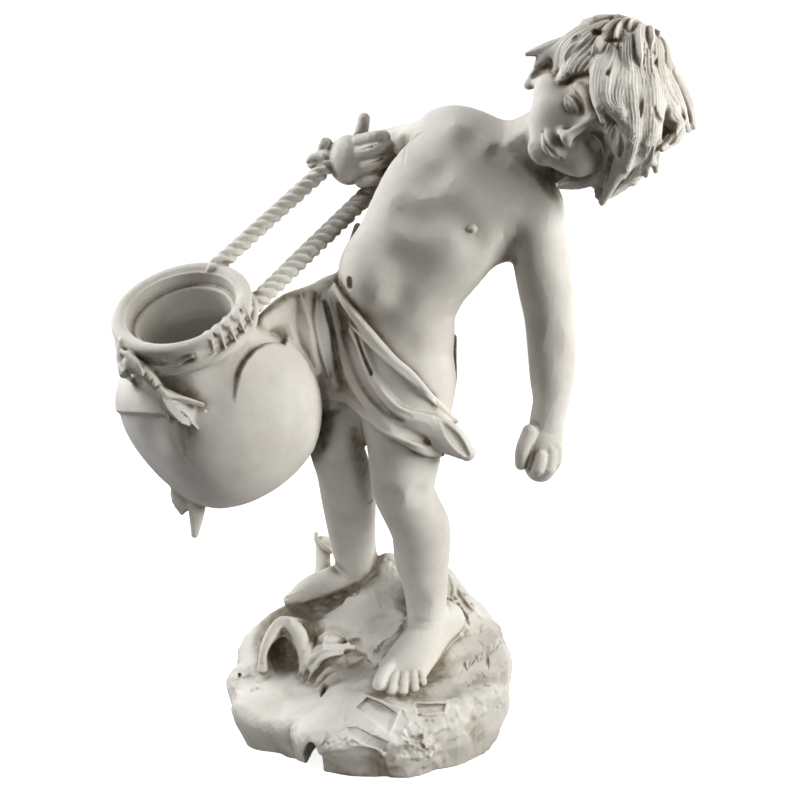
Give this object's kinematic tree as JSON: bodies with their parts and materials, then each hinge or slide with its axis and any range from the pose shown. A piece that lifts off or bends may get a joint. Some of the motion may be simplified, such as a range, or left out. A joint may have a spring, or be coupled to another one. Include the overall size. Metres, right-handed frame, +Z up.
{
  "type": "garden statue of a child carrying an urn",
  "caption": "Standing child in a hip drape, leaning away from a roped open urn held at the hip, on a rough rock base with a small spring.",
  "frame": {"origin": "on the flat underside, under the middle of the rock base", "axes": "+Z up, the statue's height; -Y is the front, where the chest faces; +X is towards the hanging left hand, away from the urn"},
  "size_m": [0.6447, 0.3205, 0.836],
  "materials": {
    "cast_stone": "matte"
  },
  "bodies": {
    "root": {"statue": "cast_stone"}
  },
  "joints": []
}
